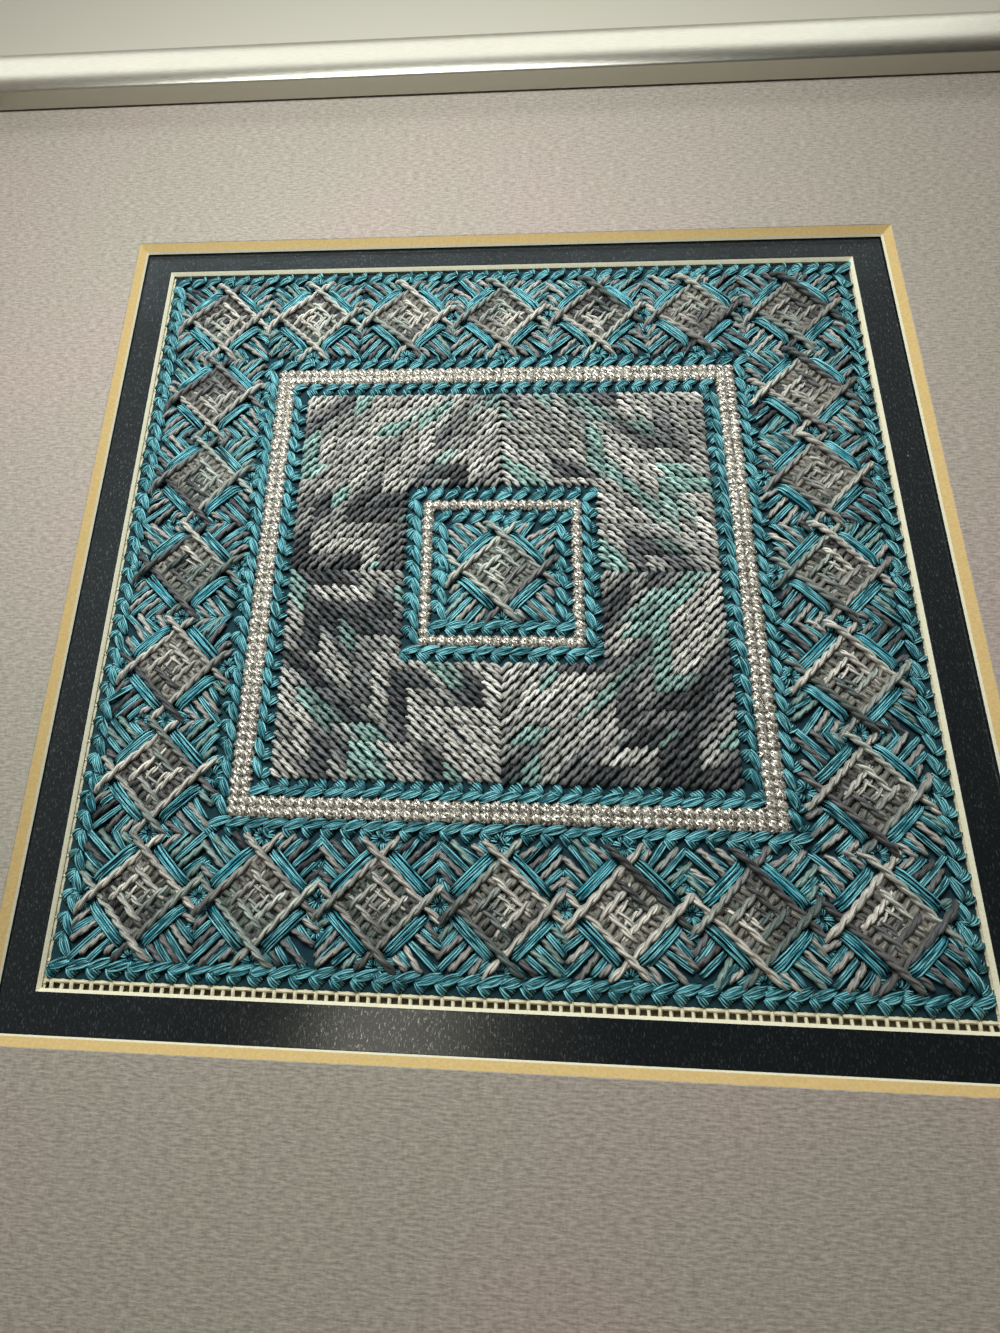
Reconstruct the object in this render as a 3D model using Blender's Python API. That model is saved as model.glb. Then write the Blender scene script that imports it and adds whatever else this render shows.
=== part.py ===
"""Needlepoint canvas panel behind two window mats, in a slim metal section frame.

The panel lies on its back. Z points up out of the stitched face, X to the right and Y towards the
panel's top edge. The origin is under the middle of the frame, on the surface that it rests on.
Everything is in metres.
"""

import math

import bmesh
import bpy

MM = 0.001
INCH = 0.0254
GAP = 0.3 * MM

# Canvas: a cut square with 18 threads to the inch, worked over its middle
THREAD = INCH / 18
CANVAS_SIDE = 8 * INCH
CANVAS_THICKNESS = 1.0 * MM
STITCHED_HALF = 44 * THREAD
STITCHED_SHIFT_Y = 0.6 * MM

# Worked bands: (first thread, last thread, height over the canvas), counted from the stitched edge
GROUND_HEIGHT = 0.55 * MM
BRAID_HEIGHT = 1.05 * MM
METAL_HEIGHT = 0.75 * MM
FIELD_HEIGHT = 0.80 * MM
BAND_SLOPE = 0.25 * MM
RAISED_BANDS = (
    (0, 2, BRAID_HEIGHT),
    (14, 16, BRAID_HEIGHT),
    (16, 18, METAL_HEIGHT),
    (18, 20, BRAID_HEIGHT),
    (20, 33, FIELD_HEIGHT),
    (33, 35, BRAID_HEIGHT),
    (35, 36, METAL_HEIGHT),
    (36, 38, BRAID_HEIGHT),
)

# Raised lozenges: a row along each side of the wide border and one in the centre. Each is a padded
# square turned 45 degrees, with a satin bar along each of its sides. Their sizes are in threads.
LOZENGE_PITCH = 12
LOZENGES_PER_SIDE = 7
LOZENGE_FOOT = 3.6
LOZENGE_TOP = 2.8
LOZENGE_HEIGHT = 1.45 * MM
BAR_DISTANCE = 4.25
BAR_LENGTH_FOOT = 2.7
BAR_WIDTH_FOOT = 0.58
BAR_LENGTH_TOP = 2.3
BAR_WIDTH_TOP = 0.3
BAR_HEIGHT = 1.15 * MM
MOTIF_ROOT = 0.25 * MM

# Window mats: a thin metal-faced one at the stitching and a thick one over it.
# A window is measured at the board's face, and its bevel is cut at 45 degrees.
INNER_MAT_THICKNESS = 0.7 * MM
INNER_WINDOW_WIDTH = 126.6 * MM
INNER_WINDOW_HEIGHT = 127.4 * MM
OUTER_MAT_THICKNESS = 1.4 * MM
OUTER_WINDOW = 5.5 * INCH
OUTER_MAT_MARGIN = 1.5 * INCH

# Frame: an extruded section, mitred at its corners, round a backing board
BACKING_THICKNESS = 3.0 * MM
RAIL_FACE = 11.2 * MM
RAIL_WALL = 1.5 * MM
RAIL_LIP = 3.6 * MM
RAIL_CROWN = 1.3 * MM
RAIL_REAR_FLANGE = 8.0 * MM
CROWN_STEPS = 8

# Levels, stacked up from the surface below
BACKING_Z = RAIL_WALL + GAP
CANVAS_Z = BACKING_Z + BACKING_THICKNESS + GAP
CANVAS_TOP_Z = CANVAS_Z + CANVAS_THICKNESS
GROUND_Z = CANVAS_TOP_Z + GROUND_HEIGHT
INNER_MAT_Z = CANVAS_TOP_Z + GAP
OUTER_MAT_Z = INNER_MAT_Z + INNER_MAT_THICKNESS + GAP
LIP_Z = OUTER_MAT_Z + OUTER_MAT_THICKNESS + GAP
RAIL_EDGE_Z = LIP_Z + RAIL_LIP

# Half sizes, measured out from the panel's middle
SIGHT_HALF = OUTER_WINDOW / 2 + OUTER_MAT_MARGIN
FRAME_HALF = SIGHT_HALF + RAIL_FACE
PACK_HALF = FRAME_HALF - RAIL_WALL - GAP


def make_material(name, colour, roughness, metallic=0.0):
    """A Principled material with one plain finish."""
    material = bpy.data.materials.new(name)
    material.use_nodes = True
    shader = material.node_tree.nodes["Principled BSDF"]
    shader.inputs["Base Color"].default_value = (*colour, 1.0)
    shader.inputs["Roughness"].default_value = roughness
    shader.inputs["Metallic"].default_value = metallic
    material.diffuse_color = (*colour, 1.0)
    return material


def add_object(name, vertices, faces, material):
    """A mesh object from its points and faces, with every face turned outwards."""
    mesh = bpy.data.meshes.new(name)
    mesh.from_pydata(vertices, [], faces)
    work = bmesh.new()
    work.from_mesh(mesh)
    bmesh.ops.recalc_face_normals(work, faces=work.faces)
    work.to_mesh(mesh)
    work.free()
    mesh.materials.append(material)
    obj = bpy.data.objects.new(name, mesh)
    bpy.context.collection.objects.link(obj)
    return obj


def loop_points(sections):
    """Corner points of level rectangles, one for each (half width, half height, z, shift along Y)."""
    points = []
    for half_x, half_y, z, shift in sections:
        for side_x, side_y in ((-1, -1), (1, -1), (1, 1), (-1, 1)):
            points.append((side_x * half_x, shift + side_y * half_y, z))
    return points


def bridge(lower, upper):
    """The four faces between two loops of corner points, given by their numbers."""
    faces = []
    for side in range(4):
        after = (side + 1) % 4
        faces.append((4 * lower + side, 4 * lower + after, 4 * upper + after, 4 * upper + side))
    return faces


def make_window_board(name, window_width, window_height, z, thickness, material):
    """A square board with a bevelled window: its section is carried round four corners."""
    sections = [
        (PACK_HALF, PACK_HALF, z, 0.0),
        (PACK_HALF, PACK_HALF, z + thickness, 0.0),
        (window_width / 2, window_height / 2, z + thickness, 0.0),
        (window_width / 2 - thickness, window_height / 2 - thickness, z, 0.0),
    ]
    faces = []
    for number in range(4):
        faces += bridge(number, (number + 1) % 4)
    return add_object(name, loop_points(sections), faces, material)


def make_terraces(name, sections, material):
    """A solid of stacked loops, closed flat underneath and in the middle of its top."""
    last = 4 * (len(sections) - 1)
    faces = [(3, 2, 1, 0), (last, last + 1, last + 2, last + 3)]
    for number in range(len(sections) - 1):
        faces += bridge(number, number + 1)
    return add_object(name, loop_points(sections), faces, material)


def band_sections():
    """Loops of the worked bands, outside to inside: each band is a ridge that rises from the ground."""
    sections = [(STITCHED_HALF, CANVAS_TOP_Z)]
    for first, last, height in RAISED_BANDS:
        outer = STITCHED_HALF - first * THREAD
        inner = STITCHED_HALF - last * THREAD
        if sections[-1] != (outer, GROUND_Z):
            sections.append((outer, GROUND_Z))
        sections.append((outer - BAND_SLOPE, CANVAS_TOP_Z + height))
        sections.append((inner + BAND_SLOPE, CANVAS_TOP_Z + height))
        sections.append((inner, GROUND_Z))
    return [(half, half, z, STITCHED_SHIFT_Y) for half, z in sections]


def lozenge_places():
    """Middles of the raised lozenges, in threads from the middle of the stitched square."""
    reach = LOZENGE_PITCH * (LOZENGES_PER_SIDE - 1) / 2
    steps = [LOZENGE_PITCH * number - reach for number in range(LOZENGES_PER_SIDE)]
    places = [(0.0, 0.0)]
    for step in steps:
        places += [(step, reach), (step, -reach)]
    for step in steps[1:-1]:
        places += [(reach, step), (-reach, step)]
    return places


def frustum_points(x, y, turn, foot, top, top_z):
    """Eight corners of a frustum on the ground, with half sizes and places in threads."""
    points = []
    for (along, across), z in ((foot, GROUND_Z - MOTIF_ROOT), (top, top_z)):
        for side_x, side_y in ((-1, -1), (1, -1), (1, 1), (-1, 1)):
            step_x = side_x * along * math.cos(turn) - side_y * across * math.sin(turn)
            step_y = side_x * along * math.sin(turn) + side_y * across * math.cos(turn)
            points.append(((x + step_x) * THREAD, (y + step_y) * THREAD + STITCHED_SHIFT_Y, z))
    return points


def make_motifs(material):
    """The lozenges and their bars as low frusta, all in one mesh, rooted below the ground."""
    lozenge_foot = (LOZENGE_FOOT, LOZENGE_FOOT)
    lozenge_top = (LOZENGE_TOP, LOZENGE_TOP)
    bar_foot = (BAR_WIDTH_FOOT, BAR_LENGTH_FOOT)
    bar_top = (BAR_WIDTH_TOP, BAR_LENGTH_TOP)
    vertices = []
    for x, y in lozenge_places():
        vertices += frustum_points(x, y, math.pi / 4, lozenge_foot, lozenge_top, CANVAS_TOP_Z + LOZENGE_HEIGHT)
        for quarter in range(4):
            turn = math.pi / 4 + quarter * math.pi / 2
            bar_x = x + BAR_DISTANCE * math.cos(turn)
            bar_y = y + BAR_DISTANCE * math.sin(turn)
            vertices += frustum_points(bar_x, bar_y, turn, bar_foot, bar_top, CANVAS_TOP_Z + BAR_HEIGHT)
    faces = []
    for start in range(0, len(vertices), 8):
        faces.append((start + 3, start + 2, start + 1, start))
        faces.append((start + 4, start + 5, start + 6, start + 7))
        for side in range(4):
            after = (side + 1) % 4
            faces.append((start + side, start + after, start + 4 + after, start + 4 + side))
    return add_object("motifs", vertices, faces, material)


def make_canvas(material):
    """The canvas sheet with its worked bands, and the motifs joined on as one body."""
    cut = CANVAS_SIDE / 2
    sections = [(cut, cut, CANVAS_Z, 0.0), (cut, cut, CANVAS_TOP_Z, 0.0)]
    canvas = make_terraces("needlepoint_canvas", sections + band_sections(), material)
    motifs = make_motifs(material)
    motifs.hide_render = True
    motifs.display_type = "WIRE"
    join = canvas.modifiers.new("motifs", "BOOLEAN")
    join.operation = "UNION"
    join.solver = "EXACT"
    join.object = motifs


def rail_profile():
    """Section of a frame rail as (distance out from the sight edge, height) points."""
    under_face = RAIL_EDGE_Z - RAIL_WALL
    points = [
        (0.0, LIP_Z),
        (RAIL_WALL, LIP_Z),
        (RAIL_WALL, under_face),
        (RAIL_FACE - RAIL_WALL, under_face),
        (RAIL_FACE - RAIL_WALL, RAIL_WALL),
        (RAIL_FACE - RAIL_REAR_FLANGE, RAIL_WALL),
        (RAIL_FACE - RAIL_REAR_FLANGE, 0.0),
        (RAIL_FACE, 0.0),
    ]
    for step in range(CROWN_STEPS + 1):
        across = 1 - 2 * step / CROWN_STEPS
        points.append((RAIL_FACE * (1 + across) / 2, RAIL_EDGE_Z + RAIL_CROWN * (1 - across**2)))
    return points


def make_frame(material):
    """Four like rails round the panel, with mitred ends a hair apart."""
    profile = rail_profile()
    count = len(profile)
    vertices = []
    for side in (-1, 1):
        for out, z in profile:
            distance = SIGHT_HALF + out
            vertices.append((side * (distance - GAP / math.sqrt(2)), -distance, z))
    faces = [tuple(range(count)), tuple(range(2 * count - 1, count - 1, -1))]
    for number in range(count):
        after = (number + 1) % count
        faces.append((number, after, count + after, count + number))
    bottom = add_object("frame_rail_bottom", vertices, faces, material)
    for turn, name in enumerate(("frame_rail_right", "frame_rail_top", "frame_rail_left"), start=1):
        rail = bpy.data.objects.new(name, bottom.data)
        rail.rotation_euler.z = turn * math.pi / 2
        bpy.context.collection.objects.link(rail)


def main():
    for obj in list(bpy.data.objects):
        bpy.data.objects.remove(obj, do_unlink=True)

    aluminium = make_material("satin silver aluminium", (0.62, 0.62, 0.58), 0.38, 1.0)
    linen_board = make_material("grey-beige mat board", (0.39, 0.34, 0.30), 0.9)
    black_board = make_material("black metal-faced mat board", (0.012, 0.014, 0.013), 0.35, 0.6)
    stitching = make_material("stitched cotton canvas", (0.07, 0.30, 0.36), 0.7)
    brown_board = make_material("brown backing board", (0.09, 0.08, 0.05), 0.9)

    make_frame(aluminium)
    make_window_board("outer_mat", OUTER_WINDOW, OUTER_WINDOW,
                      OUTER_MAT_Z, OUTER_MAT_THICKNESS, linen_board)
    make_window_board("inner_mat", INNER_WINDOW_WIDTH, INNER_WINDOW_HEIGHT,
                      INNER_MAT_Z, INNER_MAT_THICKNESS, black_board)
    make_canvas(stitching)
    backing = [
        (PACK_HALF, PACK_HALF, BACKING_Z, 0.0),
        (PACK_HALF, PACK_HALF, BACKING_Z + BACKING_THICKNESS, 0.0),
    ]
    make_terraces("backing_board", backing, brown_board)


main()
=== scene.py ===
import math

import bpy
import numpy as np
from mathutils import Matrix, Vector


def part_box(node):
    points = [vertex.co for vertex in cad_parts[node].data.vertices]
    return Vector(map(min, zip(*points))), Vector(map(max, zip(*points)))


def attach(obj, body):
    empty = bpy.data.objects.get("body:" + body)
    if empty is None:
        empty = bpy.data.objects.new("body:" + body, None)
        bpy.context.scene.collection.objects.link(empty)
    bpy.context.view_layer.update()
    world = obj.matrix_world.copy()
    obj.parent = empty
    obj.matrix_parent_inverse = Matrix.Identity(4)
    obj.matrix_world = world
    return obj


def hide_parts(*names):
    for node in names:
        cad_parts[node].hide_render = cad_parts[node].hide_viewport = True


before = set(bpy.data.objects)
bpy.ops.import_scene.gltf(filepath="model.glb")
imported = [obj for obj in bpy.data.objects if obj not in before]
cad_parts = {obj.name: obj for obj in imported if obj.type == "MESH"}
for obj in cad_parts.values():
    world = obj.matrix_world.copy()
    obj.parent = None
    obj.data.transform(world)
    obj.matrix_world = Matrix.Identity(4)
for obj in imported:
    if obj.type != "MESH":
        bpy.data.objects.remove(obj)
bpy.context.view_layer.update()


# Frame rails
# Four lengths of extruded aluminium section, mitred at the corners. The face is nearly flat and rounds down
# at both edges. It is bead-blasted and clear anodised: satin, with faint marks along its length.

def linear_colour(code):
    """An sRGB hex colour in linear light: a channel c is c / 12.92 up to 0.04, and above that it is
    ((c + 0.055) / 1.055)^2.4."""
    channels = np.array([int(code[place:place + 2], 16) for place in (0, 2, 4)]) / 255
    linear = np.where(channels <= 0.04045, channels / 12.92, ((channels + 0.055) / 1.055) ** 2.4)
    return (*linear, 1.0)


def set_inputs(tree, node, inputs):
    """Gives each named input of a node its value, or links it from the output that feeds it."""
    for name, value in inputs.items():
        if isinstance(value, bpy.types.NodeSocket):
            tree.links.new(value, node.inputs[name])
        else:
            node.inputs[name].default_value = value


def add_node(tree, kind, inputs=None, **settings):
    """A shader node of the given kind, with its settings and its inputs."""
    node = tree.nodes.new("ShaderNode" + kind)
    for name, value in settings.items():
        setattr(node, name, value)
    set_inputs(tree, node, inputs or {})
    return node


def new_finish(name, **values):
    """A material, its node tree and its Principled shader, whose constant inputs are set by name."""
    finish = bpy.data.materials.new(name)
    finish.use_nodes = True
    shader = finish.node_tree.nodes["Principled BSDF"]
    set_inputs(finish.node_tree, shader, {name.replace("_", " "): value for name, value in values.items()})
    return finish, finish.node_tree, shader


def new_piece(name, points, face_groups, finishes, smooth_below=180.0):
    """A mesh object at the origin, from an array of points and arrays of faces, one row to a face. Each
    group of faces takes the finish of its own place in the list, or the only one."""
    corners = np.concatenate([group.ravel() for group in face_groups])
    sizes = np.concatenate([np.full(len(group), group.shape[1]) for group in face_groups])
    slots = np.concatenate([np.full(len(group), place) for place, group in enumerate(face_groups)])
    mesh = bpy.data.meshes.new(name)
    mesh.vertices.add(len(points))
    mesh.vertices.foreach_set("co", np.asarray(points, np.float32).ravel())
    mesh.loops.add(len(corners))
    mesh.loops.foreach_set("vertex_index", corners.astype(np.int32))
    mesh.polygons.add(len(sizes))
    mesh.polygons.foreach_set("loop_start", (np.cumsum(sizes) - sizes).astype(np.int32))
    for finish in finishes:
        mesh.materials.append(finish)
    if len(finishes) > 1:
        mesh.polygons.foreach_set("material_index", slots.astype(np.int32))
    mesh.update(calc_edges=True)
    mesh.shade_smooth()
    if smooth_below < 180.0:
        mesh.set_sharp_from_angle(angle=math.radians(smooth_below))
    piece = bpy.data.objects.new(name, mesh)
    bpy.context.collection.objects.link(piece)
    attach(piece, "root")
    return piece


def set_attribute(piece, name, kind, values):
    """Stores one value for each point of a piece's mesh, where its finish reads it."""
    field = piece.data.attributes.new(name, kind, "POINT")
    part = "color" if kind == "FLOAT_COLOR" else "vector"
    field.data.foreach_set(part, np.asarray(values, np.float32).ravel())


def eased_section(corners, radius, steps=4):
    """A section with eased corners: each corner C becomes the curve (1-t)^2 A + 2t(1-t) C + t^2 B, where A
    and B lie on the sides beside it, up to the radius away and never past 0.4 of the side."""
    before = np.roll(corners, 1, axis=0) - corners
    after = np.roll(corners, -1, axis=0) - corners
    start = corners + before * np.minimum(radius / np.linalg.norm(before, axis=1), 0.4)[:, None]
    end = corners + after * np.minimum(radius / np.linalg.norm(after, axis=1), 0.4)[:, None]
    t = np.linspace(0, 1, steps)[None, :, None]
    curve = (1 - t) ** 2 * start[:, None] + 2 * t * (1 - t) * corners[:, None] + t ** 2 * end[:, None]
    return curve.reshape(-1, 2)


def satin_aluminium():
    """Bead-blasted and anodised aluminium: broad soft highlights, with fine marks 2 mm by 0.2 mm."""
    finish, tree, shader = new_finish("satin anodised aluminium", Metallic=1.0)
    run = add_node(tree, "Attribute", attribute_name="run").outputs["Vector"]
    marks_at = add_node(tree, "Mapping", {"Vector": run, "Scale": (500, 5000, 1)})
    marks = add_node(tree, "TexNoise", {"Vector": marks_at.outputs["Vector"], "Scale": 1.0, "Detail": 3.0})
    grit_at = add_node(tree, "Mapping", {"Vector": run, "Scale": (3300, 3300, 1)})
    grit = add_node(tree, "TexNoise", {"Vector": grit_at.outputs["Vector"], "Scale": 1.0, "Detail": 1.0})
    tone = add_node(tree, "Mix", {0: marks.outputs["Fac"], 6: linear_colour("b4b3a8"),
                                  7: linear_colour("dcdbcf")}, data_type="RGBA")
    rough = add_node(tree, "MapRange", {"Value": marks.outputs["Fac"], "To Min": 0.30, "To Max": 0.44})
    height = add_node(tree, "Math", {0: marks.outputs["Fac"], 1: grit.outputs["Fac"]}, operation="ADD")
    bump = add_node(tree, "Bump", {"Height": height.outputs["Value"], "Strength": 0.35,
                                   "Distance": 0.00004})
    set_inputs(tree, shader, {"Base Color": tone.outputs[2], "Roughness": rough.outputs["Result"],
                              "Normal": bump.outputs["Normal"]})
    return finish


rail_low, rail_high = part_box("frame_rail_bottom")
sight_half = -rail_high.y
rail_face = rail_high.y - rail_low.y
rail_length_loss = -rail_low.y - rail_high.x
mat_low, mat_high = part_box("outer_mat")
rail_wall = 0.0015
rail_crown = 0.0010
rail_edge = rail_high.z - rail_crown
lip_base = mat_high.z + 0.0003
flange = 0.008

dome = np.linspace(1, -1, 17)
section = np.concatenate([
    [(0, lip_base), (rail_wall, lip_base), (rail_wall, rail_edge - rail_wall),
     (rail_face - rail_wall, rail_edge - rail_wall), (rail_face - rail_wall, rail_wall),
     (rail_face - flange, rail_wall), (rail_face - flange, 0), (rail_face, 0)],
    np.stack([rail_face * (1 + dome) / 2, rail_edge + rail_crown * (1 - dome ** 4)], axis=1),
])
section = eased_section(section, radius=0.0004)
around = np.cumsum(np.linalg.norm(np.diff(section, axis=0, prepend=section[:1]), axis=1))
count = len(section)
ends = (sight_half + section[:, 0] - rail_length_loss) * np.array([[-1], [1]])
bottom_rail = np.stack([ends, np.tile(-sight_half - section[:, 0], (2, 1)), np.tile(section[:, 1], (2, 1))],
                       axis=2)
bottom_rail = bottom_rail.reshape(-1, 3)
here = np.arange(count)
rail_sides = np.stack([here, np.roll(here, -1), np.roll(here, -1) + count, here + count], axis=1)
rail_caps = np.stack([here[::-1], here + count])
rail_run = np.stack([bottom_rail[:, 0], np.tile(around, 2), np.zeros(2 * count)], axis=1)
aluminium = satin_aluminium()
for turn, side in enumerate(("bottom", "right", "top", "left")):
    angle = turn * math.pi / 2
    spun = bottom_rail @ np.array([[math.cos(angle), math.sin(angle), 0],
                                   [-math.sin(angle), math.cos(angle), 0], [0, 0, 1]])
    rail = new_piece("satin_rail_" + side, spun, [rail_sides, rail_caps], [aluminium, aluminium],
                     smooth_below=28.0)
    set_attribute(rail, "run", "FLOAT_VECTOR", rail_run)
    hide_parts("frame_rail_" + side)


# Backing board
# A plain sheet of brown greyboard, pressed from waste paper, that fills the frame behind the canvas. It
# shows through the holes of the canvas and from behind.

def greyboard():
    """Rough brown board: matt, with specks and fibres about 1 mm long."""
    finish, tree, shader = new_finish("brown greyboard", Roughness=0.92)
    place = add_node(tree, "TexCoord").outputs["Object"]
    fibres = add_node(tree, "TexNoise", {"Vector": place, "Scale": 900.0, "Detail": 5.0})
    clouds = add_node(tree, "TexNoise", {"Vector": place, "Scale": 40.0, "Detail": 3.0})
    blend = add_node(tree, "Math", {0: fibres.outputs["Fac"], 1: clouds.outputs["Fac"]},
                     operation="MULTIPLY")
    tone = add_node(tree, "MapRange", {"Value": blend.outputs["Value"], "From Min": 0.1, "From Max": 0.45})
    colour = add_node(tree, "Mix", {0: tone.outputs["Result"], 6: linear_colour("6b6250"),
                                    7: linear_colour("9a9078")}, data_type="RGBA")
    bump = add_node(tree, "Bump", {"Height": fibres.outputs["Fac"], "Strength": 0.5, "Distance": 0.0001})
    set_inputs(tree, shader, {"Base Color": colour.outputs[2], "Normal": bump.outputs["Normal"]})
    return finish


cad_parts["backing_board"].data.materials.clear()
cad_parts["backing_board"].data.materials.append(greyboard())


# Canvas
# One square of cream cotton mono canvas, nearly 18 threads to the inch, stretched flat. Its hidden parts
# are plain. Round the worked square the warp and weft are real threads with holes between, because a row of
# them shows there.

thread = 0.0254 / 17.85
worked_half = 44 * thread
worked_shift = np.array([-0.00008, 0.00125])
canvas_low, canvas_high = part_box("needlepoint_canvas")
canvas_base = canvas_low.z
canvas_top = canvas_base + 0.001
cut_half = canvas_high.x
bare_threads = 2


def rectangle_loops(sections):
    """Four corners for each row (half width, half height, shift along x, shift along y, height)."""
    half_x, half_y, shift_x, shift_y, z = np.array(sections, float).T[:, :, None]
    signs_x = np.array([-1, 1, 1, -1])
    signs_y = np.array([-1, -1, 1, 1])
    return np.stack([shift_x + half_x * signs_x, shift_y + half_y * signs_y, z + 0 * signs_x],
                    axis=2).reshape(-1, 3)


def loop_bridges(pairs):
    """Four faces between each pair of loops, given by their numbers."""
    corner = np.arange(4)
    after = (corner + 1) % 4
    rows = [np.stack([4 * a + corner, 4 * a + after, 4 * b + after, 4 * b + corner], axis=1)
            for a, b in pairs]
    return np.concatenate(rows)


def thread_tubes(paths, half_width, half_height, sides):
    """Closed tubes round straight-running centre lines, an array (line, step, xyz). A ring's points are
    centre + half_width cos(a) across + half_height sin(a) up: across is level and square to the line's
    chord, and up is square to both. Gives points, quads, end caps, and (distance along, distance across,
    line number) of each point."""
    lines, steps, _ = paths.shape
    run = np.gradient(paths, axis=1)
    run /= np.linalg.norm(run, axis=2, keepdims=True)
    chord = paths[:, -1] - paths[:, 0]
    across = np.stack([-chord[:, 1], chord[:, 0], 0 * chord[:, 0]], axis=1)
    across /= np.linalg.norm(across, axis=1, keepdims=True)
    up = np.cross(run, across[:, None])
    angle = 2 * math.pi * (np.arange(sides) + 0.5) / sides
    wide = np.broadcast_to(half_width, (lines, steps))[:, :, None]
    tall = np.broadcast_to(half_height, (lines, steps))[:, :, None]
    reach = wide * np.cos(angle)
    points = (paths[:, :, None] + reach[..., None] * across[:, None, None]
              + (tall * np.sin(angle))[..., None] * up[:, :, None])
    number = np.arange(lines * steps * sides).reshape(lines, steps, sides)
    turned = np.roll(number, -1, axis=2)
    quads = np.stack([number[:, :-1], turned[:, :-1], turned[:, 1:], number[:, 1:]], axis=3).reshape(-1, 4)
    caps = np.concatenate([number[:, 0, ::-1], number[:, -1]])
    along = np.cumsum(np.linalg.norm(np.diff(paths, axis=1, prepend=paths[:, :1]), axis=2), axis=1)
    lay = np.stack([along[:, :, None] + 0 * reach, reach, np.arange(lines)[:, None, None] + 0 * reach],
                   axis=3)
    return points.reshape(-1, 3), quads, caps, lay.reshape(-1, 3)


def woven_lines(first, last, places, flip, steps_each=4):
    """Level threads from first to last, in threads, at the places across them. Each goes over and under the
    ones it crosses: its height at x along it and y across is
    0.12 mm x cos(pi (x - 1/2)) x cos(pi (y - 1/2))."""
    x = np.linspace(first, last, int(round((last - first) * steps_each)) + 1)
    places = np.asarray(places, float)
    height = 0.00012 * np.cos(math.pi * (x - 0.5))[None] * np.cos(math.pi * (places - 0.5))[:, None]
    wave = canvas_top - 0.0003 + (-height if flip else height)
    level_x = np.tile(x, (len(places), 1)) * thread
    level_y = np.tile(places[:, None], (1, len(x))) * thread
    plan = [level_y, level_x] if flip else [level_x, level_y]
    return np.stack([plan[0] + worked_shift[0], plan[1] + worked_shift[1], wave], axis=2)


def cotton_canvas():
    """Stiffened cream cotton: matt, with faint fibres 0.25 mm apart."""
    finish, tree, shader = new_finish("cream cotton canvas", Roughness=0.8)
    place = add_node(tree, "TexCoord").outputs["Object"]
    fibres = add_node(tree, "TexNoise", {"Vector": place, "Scale": 4000.0, "Detail": 3.0})
    colour = add_node(tree, "Mix", {0: fibres.outputs["Fac"], 6: linear_colour("cfc8a4"),
                                    7: linear_colour("f6f1d8")}, data_type="RGBA")
    bump = add_node(tree, "Bump", {"Height": fibres.outputs["Fac"], "Strength": 0.6, "Distance": 0.00008})
    set_inputs(tree, shader, {"Base Color": colour.outputs[2], "Normal": bump.outputs["Normal"]})
    return finish


def shaded_gap_canvas():
    """The canvas below the stitches, painted dark teal: partly thread lying under them and mostly painted
    shade. It only shows as dark gaps.
    """
    finish, tree, shader = new_finish("painted shade under the stitches", Roughness=0.95)
    place = add_node(tree, "TexCoord").outputs["Object"]
    lint = add_node(tree, "TexNoise", {"Vector": place, "Scale": 2500.0, "Detail": 2.0})
    colour = add_node(tree, "Mix", {0: lint.outputs["Fac"], 6: linear_colour("052630"),
                                    7: linear_colour("0f3e4a")}, data_type="RGBA")
    set_inputs(tree, shader, {"Base Color": colour.outputs[2]})
    return finish


opening = worked_half + bare_threads * thread
covered_half = worked_half + 0.1 * thread
sheet_loops = rectangle_loops([
    (cut_half, cut_half, 0, 0, canvas_base),
    (cut_half, cut_half, 0, 0, canvas_top),
    (opening, opening, *worked_shift, canvas_top),
    (opening, opening, *worked_shift, canvas_base),
    (covered_half, covered_half, *worked_shift, canvas_base),
    (covered_half, covered_half, *worked_shift, canvas_top - 0.0003),
])
sheet_quads = loop_bridges([(0, 1), (1, 2), (2, 3), (3, 0)])
shaded_ground_quads = np.concatenate([loop_bridges([(4, 5)]), [[19, 18, 17, 16], [20, 21, 22, 23]]])
edge_places = np.array([-45.3, -44.3, 44.3, 45.3])
stub_places = np.arange(-45.5, 46.5)
woven = [woven_lines(-46, 46, edge_places, False), woven_lines(-46, 46, edge_places, True)]
stubs = [woven_lines(first, last, stub_places, flip)
         for first, last in ((-46, -44.1), (44.1, 46)) for flip in (False, True)]
canvas_points = [sheet_loops]
canvas_quads = [sheet_quads]
canvas_caps = []
for lines in woven + stubs:
    offset = sum(len(points) for points in canvas_points)
    points, quads, caps, _ = thread_tubes(lines, half_width=0.00027, half_height=0.00020, sides=5)
    canvas_points.append(points)
    canvas_quads.append(quads + offset)
    canvas_caps.append(caps + offset)
cream_canvas = cotton_canvas()
# The covered ground takes the dark teal finish, which is painted shade.
canvas_sheet = new_piece("canvas_sheet", np.concatenate(canvas_points),
                         [np.concatenate(canvas_quads), np.concatenate(canvas_caps), shaded_ground_quads],
                         [cream_canvas, cream_canvas, shaded_gap_canvas()], smooth_below=50.0)
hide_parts("needlepoint_canvas")


# Inner mat
# Thin board faced with black brushed metal foil. Its window is cut at a bevel that shows a cream core.

inner_low, inner_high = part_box("inner_mat")
inner_half = inner_high.x
inner_window = np.array([0.06330, 0.06375])
inner_shift = np.array([-0.00020, 0.00055])
inner_bevel = 0.00045


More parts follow.
